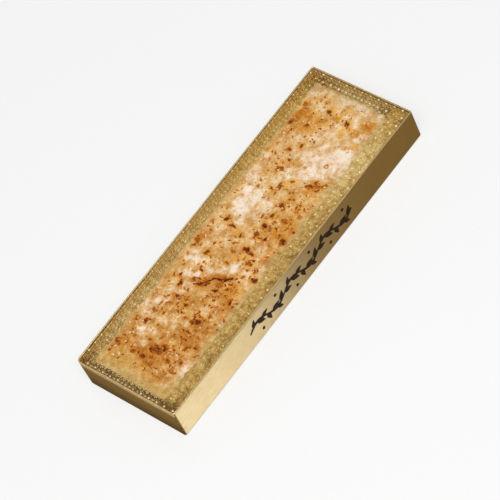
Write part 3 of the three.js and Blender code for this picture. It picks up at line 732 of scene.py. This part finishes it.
def crown_fields(x, y, dark, halo):
    """The numbers that the nougat's material reads from its points, from about 0 to about 1."""
    near_part, far_part = smoothstep(-y, 20, 50), smoothstep(y, 20, 45)
    amber = patches(x, y, AMBER_PATCHES, 1.3, 30) * (1 - 0.4 * near_part)
    white = np.clip(whiteness(x, y) - 0.85 * smoothstep(amber, 0.35, 1.0), 0, 1)
    syrup = syrup_share(x, y) * (1 - 0.6 * amber)
    toast = np.maximum(dark, 0.22 * halo)
    for route, half_width, darkness in CARAMEL_LINES:
        toast = np.maximum(toast, darkness * line_share(x, y, route, half_width))
        toast = np.maximum(toast, 0.36 * darkness * line_share(x, y, route, 2.2 * half_width))
    amber = np.maximum(amber, 0.62 * smoothstep(halo, 0.1, 0.6))
    cell, _, layer = CRUMBS[0]
    tone = 0.44 + 0.34 * cloud(x, y, 5.5, 35, 4) + 0.16 * cloud(x, y, 15, 34, 2)
    tone = tone + 0.0008 * y + 0.18 * (crumbs(x, y, cell, layer) - CRUMB_LEVEL)
    tone = tone + 0.1 * white - 0.03 * near_part + 0.02 * far_part
    tone = tone - 0.05 * smoothstep(-y, 80, 88) * smoothstep(x, -4, 2)
    ragged = 1.8 * cloud(x, y, 5, 37, 3) + 1.2 * cloud(x, y, 12, 38, 2)
    haze = smoothstep(y + ragged, BAND_FAR - 9.5, BAND_FAR - 3) * (0.75 + 0.35 * cloud(x, y, 6, 39, 3))
    gilt = gold_film(x + ragged, y + ragged) * (1 - 0.6 * np.maximum(white, 0.7 * amber) * (x > 10))
    gilt = np.clip(gilt * (1 - 0.8 * smoothstep(dark, 0.2, 0.6)), 0, 0.95)
    return {
        "toast": toast, "white": white, "amber": amber, "syrup": syrup,
        "gilt": gilt, "tone": tone, "haze": haze,
    }


def grid_places(side, low_ledge, low, high, high_ledge):
    """Places along one axis of the block: fine over the crown, and one on each ledge and each side."""
    count = round((high - low) / GRID_STEP)
    return np.concatenate([[-side, low_ledge], np.linspace(low, high, count + 1), [high_ledge, side]])


def make_nougat(spots):
    """The whole block: a fine grid for its crown, a ledge round it, and plain sides and underside."""
    side_x, side_y = INNER_X - NOUGAT_GAP, INNER_Y - NOUGAT_GAP
    ledge_left, ledge_right = 1.5 - side_x, 27.0
    ledge_near, ledge_far = 2 - side_y, 101.0
    xs = grid_places(side_x, ledge_left, CROWN_LEFT, CROWN_RIGHT, ledge_right)
    ys = grid_places(side_y, ledge_near, CROWN_NEAR, CROWN_FAR, ledge_far)
    x, y = np.meshgrid(xs, ys)
    dark, halo = stamp_spots(x, y, xs, ys, spots)
    z = np.maximum(crown_height(x, y, dark), np.where(inside_by(x, y) > 0, 0, LEDGE))
    top = np.stack([x, y, z], -1).reshape(-1, 3)
    index = np.arange(x.size).reshape(x.shape)
    rim = np.concatenate([index[0, :-1], index[:-1, -1], index[-1, :0:-1], index[:0:-1, 0]])
    bottom = top[rim].copy()
    bottom[:, 2] = CARD
    foot = np.arange(len(rim)) + len(top)
    faces = grid_faces(*x.shape) + ring_faces(foot, rim) + [foot[::-1].tolist()]
    values = padded(crown_fields(x, y, dark, halo), len(rim))
    piece = make_mesh("nougat_block", np.concatenate([top, bottom]), faces, values=values)
    return dress(piece, "nougat_paste", nougat_material(), "nougat")


def ridge(distance, at, width):
    """A soft ridge that is 1 where a distance has a given value."""
    return np.exp(-((distance - at) / width) ** 2)


def emboss(a, b):
    """Relief of the pearled paper, 0 to 1, from places counted in pitches along and across the rows."""
    u, v = a - np.round(a), b - np.round(b)
    cu, cv = np.abs(u) - 0.5, np.abs(v) - 0.5
    to_centre = np.hypot(cu, cv) * PITCH_X
    pearl_ring = ridge(np.hypot(u, v) * PITCH_X, 1.35, 0.22) * (0.55 + 0.45 * np.cos(8 * np.arctan2(v, u)))
    petals = ridge(to_centre, 0.95, 0.38) * (0.5 + 0.5 * np.cos(6 * np.arctan2(cv, cu)))
    heart = ridge(to_centre, 0, 0.38)
    edge_u = ridge(np.hypot(cu, v) * PITCH_X, 0.5, 0.22)
    edge_v = ridge(np.hypot(u, cv) * PITCH_X, 0.5, 0.22)
    mesh = 0.22 * (np.cos(2 * np.pi * 6 * a) * np.cos(2 * np.pi * 6 * b) > 0.35)
    forms = (pearl_ring * 0.7, petals * 0.85, heart, edge_u * 0.7, edge_v * 0.7, mesh)
    return np.clip(np.maximum.reduce(forms), 0, 1)


def border_relief(x, y):
    """Height 0 to 1 of the paper's relief on the flat band, a little worn here and there."""
    a = (y - ROW_NEAR) / PITCH_Y + 0.012 * noise(x, y, 9, 90)
    b = (x - ROW_LEFT) / PITCH_X + 0.012 * noise(x, y, 9, 91)
    return emboss(a, b) * (0.85 + 0.15 * noise(x, y, 3, 92))


def band_painted_light(x, y):
    """How light the paper is painted, 0 to 1: painted light and shade by side, from dark near corners to a
    pale stretch on the far right, darker in the shade of the right wall, with a random tone.
    """
    right = np.interp(
        y, (-100, -88, -70, 20, 45, 66, 86, 100), (0.36, 0.46, 0.5, 0.5, 0.68, 0.82, 0.62, 0.42))
    # Painted shade next to the right wall
    right = right - 0.12 * smoothstep(x, 25.5, 27.5)
    left = np.interp(y, (-100, -80, 80, 100), (0.42, 0.8, 0.88, 0.54))
    far = 0.8 - 0.4 * smoothstep(np.abs(x), 8, 30)
    near = np.full(x.shape, 0.42)
    painted_light_and_tone = np.where(x > 20, right, np.where(x < -28, left, np.where(y > 0, far, near)))
    end = smoothstep(np.abs(y), 98.5, 100)
    painted_light_and_tone = painted_light_and_tone * (1 - end) + np.where(y > 0, far, near) * end
    return painted_light_and_tone + 0.16 * cloud(x, y, 5, 96, 3)


def scalloped(loop):
    """The opening of the border with its small scallops, which follow the rows of pearls."""
    centre = np.array([(BAND_LEFT + BAND_RIGHT) / 2, (BAND_NEAR + BAND_FAR) / 2])
    from_centre = np.abs(loop - centre) / (BAND_RIGHT - BAND_LEFT, BAND_FAR - BAND_NEAR)
    on_long_side = from_centre[:, 0] > from_centre[:, 1]
    phase = np.where(on_long_side, (loop[:, 1] - ROW_NEAR) / PITCH_Y, (loop[:, 0] - ROW_LEFT) / PITCH_X)
    wave = np.abs(np.sin(np.pi * phase)) + 0.35 * np.abs(np.sin(3 * np.pi * phase)) - 0.4
    tangent = np.roll(loop, -1, 0) - np.roll(loop, 1, 0)
    inward = np.stack([-tangent[:, 1], tangent[:, 0]], -1)
    inward /= np.linalg.norm(inward, axis=1, keepdims=True)
    return loop + inward * (SCALLOP_DEPTH * wave)[:, None]


def make_band(material):
    """The flat band of the border with its relief and scalloped inner edge, as one closed sheet."""
    half_x, half_y = INNER_X - BORDER_GAP, INNER_Y - BORDER_GAP
    outer = rounded_loop(-half_x, half_x, -half_y, half_y, (1.6, 0.6, 0.6, 0.6), BORDER_STEPS)
    opening = rounded_loop(BAND_LEFT, BAND_RIGHT, BAND_NEAR, BAND_FAR, (BAND_CORNER,) * 4, BORDER_STEPS)
    inner = scalloped(opening)
    count = len(inner)
    share = np.linspace(0, 1, BAND_LANES)[:, None, None]
    flat = outer[None] * (1 - share) + inner[None] * share
    x, y = flat[..., 0], flat[..., 1]
    right = smoothstep(x, SOAKED_FROM, SOAKED_FULL)
    calm = right * (1 - smoothstep(y, -30, 50))
    damp = right * (1 - smoothstep(x, 23.5, 26.5))
    relief = border_relief(x, y) * (1 - 0.6 * calm) * (1 - 0.7 * damp)
    edge = smoothstep(share[..., 0], 0.0, 0.03) * (1 - 0.6 * smoothstep(share[..., 0], 0.985, 1.0))
    z = BORDER_TOP - 0.12 + 0.12 * noise(x, y, 13, 93) + 0.42 * relief * edge
    soft = np.maximum(0.95 * right, 0.42 * smoothstep(-x, 28, 30))
    soft = np.maximum(soft, 0.2 * smoothstep(y, 96, 99)) + 0.2 * cloud(x, y, 6, 94)
    soft = np.clip(soft, 0, 1) * smoothstep(y, BAND_NEAR - 2, BAND_NEAR + 3)
    warm = smoothstep(y, -60, 80) * (x < -20)
    points = [np.concatenate([flat, z[..., None]], -1).reshape(-1, 3)]
    for loop in (inner, outer):
        points.append(np.concatenate([loop, np.full((count, 1), BORDER_UNDERSIDE)], 1))
    rows = BAND_LANES + 2
    ring = np.arange(count)
    faces = grid_faces(rows, count, wrap=True) + ring_faces(ring + (rows - 1) * count, ring)
    values = padded({"height": relief * edge, "soft": soft, "painted_light_and_tone": band_painted_light(x, y), "warm": warm}, 2 * count)
    piece = make_mesh("lace_band", np.concatenate(points), faces, values=values)
    return dress(piece, "gold_paper", material, "lace_border")


def make_leg(material):
    """The paper folded up the left and far walls, as one closed upright sheet."""
    half_x, half_y = INNER_X - BORDER_GAP, INNER_Y - BORDER_GAP
    bend_x, bend_y = -half_x + LEG_BEND, half_y - LEG_BEND
    short, long = BORDER_STEPS
    turn = np.radians(np.linspace(180, 90, 8))[1:-1]
    path = np.concatenate([
        np.stack([np.full(long, -half_x), np.linspace(-half_y + 2.4, bend_y, long)], -1),
        np.stack([bend_x + LEG_BEND * np.cos(turn), bend_y + LEG_BEND * np.sin(turn)], -1),
        np.stack([np.linspace(bend_x, half_x, short), np.full(short, half_y)], -1),
    ])
    count = len(path)
    x, y = path[:, 0], path[:, 1]
    on_left = np.arange(count) < long
    tangent = np.gradient(path, axis=0)
    inward = np.stack([tangent[:, 1], -tangent[:, 0]], -1)
    inward /= np.linalg.norm(inward, axis=1, keepdims=True)
    along = np.where(on_left, (y - ROW_NEAR) / PITCH_Y, (x - ROW_LEFT) / PITCH_X)
    top = LEG_TOP - 0.25 + 0.22 * np.abs(np.sin(2 * np.pi * along))
    top = top + 0.12 * noise(along * 5.5, np.zeros(count), 7, 95)
    share = np.linspace(0, 1, LEG_LANES)[:, None]
    z = BORDER_UNDERSIDE * (1 - share) + top[None] * share
    relief = emboss(np.broadcast_to(along, z.shape), (z - ROW_LEG_Z) / PITCH_X)
    fade = smoothstep(share, 0.02, 0.1) * (1 - smoothstep(share, 0.94, 1.0))
    # Painted light and shade along the leg, darker towards its ends, with a random tone added
    left_painted_light = np.interp(y, (-100, -88, -70, 70, 84, 100), (0.58, 0.76, 0.98, 1.0, 0.8, 0.78))
    far_painted_light = np.interp(x, (-34, -24, 16, 34), (0.9, 1.2, 1.25, 1.0))
    painted_light_and_tone = np.where(on_left, left_painted_light, far_painted_light) + 0.2 * cloud(np.broadcast_to(x + y, z.shape), z, 3, 97, 3)
    soft = np.where(on_left, 0.45, 0.12)
    warm = np.where(on_left, 0.4 + 0.6 * smoothstep(y, -60, 80), 0.7)
    push = LEG_THICK + 0.38 * relief * fade
    front = np.concatenate([path[None] + inward[None] * push[..., None], z[..., None]], -1)
    back = np.concatenate([np.stack([path, path]), z[[-1, 0], :, None]], -1)
    points = np.concatenate([front.reshape(-1, 3), back.reshape(-1, 3)])
    rows = LEG_LANES + 2
    last = (rows - 1) * count
    faces = [face[::-1] for face in grid_faces(rows, count)]
    faces.extend((k, k + 1, last + k + 1, last + k) for k in range(count - 1))
    faces.append([row * count for row in range(rows)][::-1])
    faces.append([row * count + count - 1 for row in range(rows)])
    fields = {"height": relief * fade, "soft": np.tile(soft, LEG_LANES), "painted_light_and_tone": painted_light_and_tone}
    fields["warm"] = np.tile(warm, LEG_LANES)
    piece = make_mesh("lace_leg", points, faces, values=padded(fields, 2 * count))
    return dress(piece, "gold_paper", material)


def unit_ball(subdivisions):
    """Points and triangles of a ball of radius 1."""
    shape = bmesh.new()
    bmesh.ops.create_icosphere(shape, subdivisions=subdivisions, radius=1.0)
    points = np.array([vertex.co[:] for vertex in shape.verts])
    faces = np.array([[vertex.index for vertex in face.verts] for face in shape.faces])
    shape.free()
    return points, faces


def joined_copies(ball, faces, places, axes):
    """Many turned and stretched copies of one shape as a single set of points and faces."""
    points = np.einsum("nij,kj->nki", axes, ball) + places[:, None]
    shift = (np.arange(len(places)) * len(ball))[:, None, None]
    return points.reshape(-1, 3), (faces[None] + shift).reshape(-1, 3).tolist()


def make_pearls(material):
    """Every pearl of the border as (x, y, z, axis that it faces), on the band and on the folded leg."""
    along = [ROW_NEAR + k * PITCH_Y for k in range(PITCHES_Y + 1)]
    across = [ROW_LEFT + k * PITCH_X for k in range(PITCHES_X + 1)]
    spots = [(x, y, BORDER_TOP, 2) for y in (ROW_NEAR, ROW_FAR) for x in across]
    spots += [(x, y, BORDER_TOP, 2) for x in (ROW_LEFT, ROW_RIGHT, ROW_RIGHT - PITCH_X) for y in along[1:-1]]
    wall_x, wall_y = -INNER_X + BORDER_GAP + LEG_THICK, INNER_Y - BORDER_GAP - LEG_THICK
    spots += [(wall_x, y, ROW_LEG_Z, 0) for y in along[1:]]
    spots += [(x, wall_y, ROW_LEG_Z, 1) for x in across]
    ball, faces = unit_ball(2)
    draw = np.random.default_rng(PEARL_SEED)
    places = np.array([spot[:3] for spot in spots])
    axes = np.zeros((len(spots), 3, 3))
    painted_light_and_tone = np.zeros(len(spots))
    for k, (x, y, _, facing) in enumerate(spots):
        on_band, on_right, pressed = facing == 2, x > 15, x < -30 and y > FOLD_FROM
        size = PEARL_RADIUS * draw.uniform(0.88, 1.06)
        # Random tone, darker where the left fold presses on the pearls
        painted_light_and_tone[k] = draw.uniform(0.35, 0.85) - 0.3 * pressed
        soaked = on_band * np.clip(0.3 + 0.4 * on_right - 0.005 * y, 0, 1) * (abs(y) < 98)
        places[k, 2] -= (0.9 + 0.2 * on_right) * soaked * draw.uniform(0.35, 1.0)
        places[k, 2] -= 0.3 * pressed * on_band
        places[k, 0] -= 0.25 * (y > FOLD_FROM) * (facing == 0)
        places[k, :2] += draw.normal(0, 0.12, 2)
        stretch = np.full(3, size)
        stretch[facing] = size * 0.8
        axes[k] = np.diag(stretch)
    points, triangles = joined_copies(ball, faces, places, axes)
    count = len(points)
    values = {"height": np.ones(count), "soft": np.zeros(count), "painted_light_and_tone": np.repeat(painted_light_and_tone, len(ball))}
    return dress(make_mesh("lace_pearls", points, triangles, values=values), "gold_paper", material)


def case_loop(inset):
    """The outline of the tray, moved in by a distance."""
    left, near = CASE_LOW[:2] + inset
    right, far = CASE_HIGH[:2] - inset
    radii = [max(radius - inset, 0.15) for radius in CASE_CORNERS]
    return rounded_loop(left, right, near, far, radii, CASE_STEPS)


def wall_bow(x, y):
    """How far a wall bows out at its rim."""
    return 0.16 * noise(x, y, 37, 100) + 0.05 * noise(x, y, 9, 101)


def make_case(material):
    """The folded tray: bottom edge, walls that bow a little, a rim folded over, inside walls and floor."""
    base = case_loop(0)
    x, y = base[:, 0], base[:, 1]
    near = y < CASE_LOW[1] + 0.4
    points, rims, strips, painted_shades = [], [], [], []
    for inset, z, rim in CASE_SECTION:
        outside = inset < 0.5
        loop = case_loop(inset)
        bow = min(z / CASE_HEIGHT, 1) * wall_bow(x, y)
        outward = loop / np.maximum(np.abs(loop), 1)
        on_wall = np.abs(loop) > np.array([CASE_WIDTH / 2 - 3, CASE_LENGTH / 2 - 3])
        loop = loop + outward * on_wall * bow[:, None]
        dip = 0.08 * noise(x, y, 21, 102) * (z > 20)
        points.append(np.concatenate([loop, (z + dip)[:, None]], 1))
        rims.append(np.full(len(loop), rim))
        # The near wall's upper strip, which gets painted light
        strips.append(near * (0.9 if outside and z > 18.5 else 0.0))
        # Painted shade, stored as foot: darker towards the bottom of the near wall, and on the right rim
        # towards the far end
        shaded_rim = (z > 20.95) * outside * (x > 30) * smoothstep(y, -50, 30)
        painted_shades.append(near * (1 - smoothstep(z, 0, 15.0)) * outside + 0.7 * shaded_rim)
    rows, count = len(CASE_SECTION), len(base)
    faces = grid_faces(rows, count, wrap=True)
    faces.append(list(range(count))[::-1])
    faces.append([(rows - 1) * count + k for k in range(count)])
    values = {"rim": np.concatenate(rims), "strip": np.concatenate(strips), "foot": np.concatenate(painted_shades)}
    piece = make_mesh("card_case", np.concatenate(points), faces, values=values)
    return dress(piece, "gold_card", material, "case")


def petal(length, width, tip=1.6, steps=10):
    """Outline of a leaf shape from the origin along +X."""
    share = np.linspace(0, 1, steps)
    half = width / 2 * np.sin(np.pi * share ** (1 / tip))
    upper = np.stack([length * share, half], -1)
    lower = np.stack([length * share, -half], -1)[-2:0:-1]
    return np.concatenate([upper, lower])


def disc(radius):
    """Outline of a small dot."""
    turn = np.radians(np.arange(0, 360, 24))
    return radius * np.stack([np.cos(turn), np.sin(turn)], -1)


def moved(outline, along, up, degrees=0):
    """An outline turned and moved on the wall."""
    angle = math.radians(degrees)
    turn = np.array([[math.cos(angle), math.sin(angle)], [-math.sin(angle), math.cos(angle)]])
    return outline @ turn + (along, up)


def pen_line(route, widths):
    """The two edges of a pen stroke that follows a route and changes its width."""
    ahead = np.gradient(route, axis=0)
    ahead /= np.linalg.norm(ahead, axis=1, keepdims=True)
    side = np.stack([-ahead[:, 1], ahead[:, 0]], -1) * np.asarray(widths)[:, None] / 2
    return route + side, route - side


def garland_height(along):
    """Height of the garland's waving stem."""
    return GARLAND_MIDDLE + GARLAND_SWING * np.sin(2 * np.pi * (along - GARLAND_LOW) / GARLAND_WAVE)


def garland_stem():
    """The two edges of the stem, thick in its bends and thin between them."""
    along = np.linspace(GARLAND_LOW, GARLAND_HIGH, 240)
    swing = 2 * np.pi * (along - GARLAND_LOW) / GARLAND_WAVE
    return pen_line(np.stack([along, garland_height(along)], -1), 1.0 + 0.8 * np.abs(np.sin(swing)))


def garland_leaves():
    """Leaves to both sides of the stem and berries in its hollows, as outlines of (along, up)."""
    shapes = []
    step = GARLAND_WAVE / 8
    for k in range(1, round((GARLAND_HIGH - GARLAND_LOW) / step)):
        way = 1 if k % 2 else -1
        along = GARLAND_LOW + k * step
        slope = math.degrees(math.atan2(garland_height(along + 0.1) - garland_height(along - 0.1), 0.2))
        length = 6.0 - 1.0 * way * math.sin(2 * math.pi * k / 8)
        shapes.append(moved(petal(length, 0.5 * length), along, garland_height(along), slope + way * 42))
    for k in range(round(2 * (GARLAND_HIGH - GARLAND_LOW) / GARLAND_WAVE)):
        way = 1 if k % 2 == 0 else -1
        along = GARLAND_LOW + (k + 0.5) * GARLAND_WAVE / 2
        shapes.append(moved(disc(1.0), along + 1.6, GARLAND_MIDDLE - way * 5.4))
    return shapes


def make_print(material):
    """The ornament as a thin layer of ink on the long wall."""
    wall = CASE_HIGH[0]
    points, faces = [], []

    def lay(outline, lift):
        """Points on the bowed wall, at a height over the foil."""
        along, up = outline[:, 0], outline[:, 1]
        bow = wall_bow(np.full(len(along), wall), along)
        points.extend(np.stack([wall + bow * up / CASE_HEIGHT + lift, along, up], -1))

    left, right = garland_stem()
    count = len(left)
    for edge, lift in ((left, INK_TOP), (right, INK_TOP), (right, INK_FOOT), (left, INK_FOOT)):
        lay(edge, lift)
    for row in range(4):
        this, after = row * count, (row + 1) % 4 * count
        faces.extend((this + k, this + k + 1, after + k + 1, after + k) for k in range(count - 1))
    faces.append([row * count for row in range(4)])
    faces.append([row * count + count - 1 for row in range(3, -1, -1)])
    for turn, outline in enumerate(garland_leaves()):
        low = np.arange(len(outline)) + len(points)
        high = low + len(outline)
        lay(outline, INK_FOOT)
        lay(outline, INK_TOP + 0.03 + 0.008 * (turn % 3))
        faces += ring_faces(low, high) + [high.tolist(), low[::-1].tolist()]
    piece = make_mesh("wall_ornament", points, faces, smooth=False)
    return dress(piece, "gold_card", material)


def scatter(name, count, seed, sizes, material, wanted, sink):
    """Loose crumbs of one kind on the crown, more of them where wanted(x, y) is high."""
    draw = np.random.default_rng(seed)
    ball, faces = unit_ball(2)
    batch = 400
    places, axes, tone = [], [], []
    while len(places) < count:
        x = draw.uniform(BAND_LEFT + 2, BAND_RIGHT - 1.5, batch)
        y = draw.uniform(BAND_NEAR + 7, BAND_FAR - 2.5, batch)
        keep = draw.uniform(size=batch) < wanted(x, y)
        z = crown_height(x, y, np.zeros(batch))
        for px, py, pz in zip(x[keep], y[keep], z[keep]):
            if len(places) == count:
                break
            size = draw.uniform(*sizes)
            shape = np.array([draw.uniform(0.9, 1.6), draw.uniform(0.7, 1.0), draw.uniform(0.45, 0.75)])
            turn = Matrix.Rotation(draw.uniform(0, 2 * np.pi), 3, "Z")
            tilt = Matrix.Rotation(draw.normal(0, 0.3), 3, "X")
            places.append((px, py, pz + size * sink))
            axes.append(np.array(turn @ tilt) @ np.diag(size * shape))
            tone.append(draw.uniform())
    points, triangles = joined_copies(ball, faces, np.array(places), np.array(axes))
    rough = cloud(points[:, 0] * 3 + points[:, 2] * 5, points[:, 1] * 3, 1.3, seed, 2)[:, None]
    centre = np.repeat(np.array(places), len(ball), axis=0)
    points = centre + (points - centre) * (1 + 0.35 * rough)
    values = {"tone": np.repeat(tone, len(ball))}
    return dress(make_mesh(name, points, triangles, values=values), "nougat_paste", material)


def away_from_spots(x, y):
    """1 in the open and 0 on a large toasted spot."""
    nearest = np.full(x.shape, 9.0)
    for px, py, across, along, _ in BROWN_SPOTS:
        nearest = np.minimum(nearest, np.hypot((x - px) / across, (y - py) / along))
    return smoothstep(nearest, 0.9, 1.5)


def make_crumbs():
    """Pale crumbs everywhere, toasted flakes where the top browned, and a few clear grains of sugar."""

    def pale(x, y):
        share = (1 - 0.8 * syrup_share(x, y)) * (0.35 + 0.4 * cloud(x, y, 8, 110))
        return share * away_from_spots(x, y) * (1 - 0.9 * smoothstep(whiteness(x, y), 0.2, 0.6))

    def toasted(x, y):
        share = 0.25 + 0.6 * patches(x, y, AMBER_PATCHES, 2, 30) + 0.4 * cloud(x, y, 9, 33)
        return share * (1 - 0.9 * syrup_share(x, y)) * (1 - smoothstep(whiteness(x, y), 0.2, 0.6))

    cream = crumb_material("pale_crumb", srgb(196, 136, 68), srgb(238, 200, 150), 0.5, 0.1)
    brown = crumb_material("toasted_flake", srgb(116, 56, 18), srgb(206, 134, 62), 0.5, 0.05)
    sugar = crumb_material("sugar_grain", srgb(236, 202, 146), srgb(252, 230, 190), 0.14, 0.1)
    scatter("pale_crumbs", 700, 21, (0.35, 0.8), cream, pale, -0.2)
    scatter("toasted_flakes", 260, 22, (0.25, 0.6), brown, toasted, 0.0)
    scatter("sugar_grains", 130, 23, (0.14, 0.24), sugar, toasted, 0.2)


def make_camera():
    """The photograph's viewpoint, turned about its own axis by the roll of the picture."""
    azimuth, elevation, roll = (math.radians(a) for a in (CAMERA_AZIMUTH, CAMERA_ELEVATION, CAMERA_ROLL))
    level_part = math.cos(elevation)
    back = Vector((math.sin(azimuth) * level_part, -math.cos(azimuth) * level_part, math.sin(elevation)))
    level = Vector((math.cos(azimuth), math.sin(azimuth), 0))
    up = back.cross(level)
    right = math.cos(roll) * level - math.sin(roll) * up
    upright = math.cos(roll) * up + math.sin(roll) * level
    place = (Vector(CAMERA_AIM) + back * CAMERA_DISTANCE) * MM
    lens = bpy.data.cameras.new("camera")
    lens.lens, lens.sensor_width = CAMERA_LENS, CAMERA_SENSOR
    lens.clip_start, lens.clip_end = 0.05, 20
    camera = bpy.data.objects.new("camera", lens)
    camera.matrix_world = Matrix((
        (right.x, upright.x, back.x, place.x),
        (right.y, upright.y, back.y, place.y),
        (right.z, upright.z, back.z, place.z),
        (0, 0, 0, 1),
    ))
    bpy.context.scene.collection.objects.link(camera)
    bpy.context.scene.camera = camera


def area_light(name, place, target, size, watts, colour):
    """A soft rectangular lamp that faces a point."""
    lamp = bpy.data.lights.new(name, "AREA")
    lamp.shape = "RECTANGLE"
    lamp.size, lamp.size_y = size
    lamp.energy = watts
    lamp.color = colour
    light = bpy.data.objects.new(name, lamp)
    light.location = place
    light.rotation_euler = (Vector(target) - Vector(place)).to_track_quat("-Z", "Y").to_euler()
    bpy.context.scene.collection.objects.link(light)


def make_sky():
    """A plain sky, darker and warmer below the horizon than above it."""
    world = bpy.data.worlds.new("studio")
    bpy.context.scene.world = world
    world.use_nodes = True
    tree = world.node_tree
    direction = tree.nodes.new("ShaderNodeTexCoord")
    split = tree.nodes.new("ShaderNodeSeparateXYZ")
    stretch = tree.nodes.new("ShaderNodeMapRange")
    ramp = tree.nodes.new("ShaderNodeValToRGB")
    stretch.inputs["From Min"].default_value = -1
    while len(ramp.color_ramp.elements) < len(SKY):
        ramp.color_ramp.elements.new(0.5)
    for element, (place, colour) in zip(ramp.color_ramp.elements, SKY):
        element.position = place
        element.color = colour
    tree.links.new(direction.outputs["Generated"], split.inputs[0])
    tree.links.new(split.outputs["Z"], stretch.inputs["Value"])
    tree.links.new(stretch.outputs["Result"], ramp.inputs["Fac"])
    tree.links.new(ramp.outputs["Color"], tree.nodes["Background"].inputs["Color"])


def make_stage():
    """Pale floor, sky and lamps."""
    bpy.ops.mesh.primitive_plane_add(size=8, location=(0, 0, -0.0002))
    floor = bpy.context.object
    floor.name = "floor"
    floor.data.materials.append(floor_material())
    floor.visible_glossy = False
    floor.visible_shadow = False
    make_sky()
    for lamp in LAMPS:
        area_light(*lamp)
    bpy.context.scene.view_settings.view_transform = "Standard"


def build():
    """Make every piece, then the camera, floor and light."""
    spots = toasted_spots()
    make_nougat(spots)
    paper = gold_paper_material()
    make_band(paper)
    make_leg(paper)
    make_pearls(paper)
    make_case(gold_card_material())
    make_print(print_material())
    make_crumbs()
    make_camera()
    make_stage()


build()
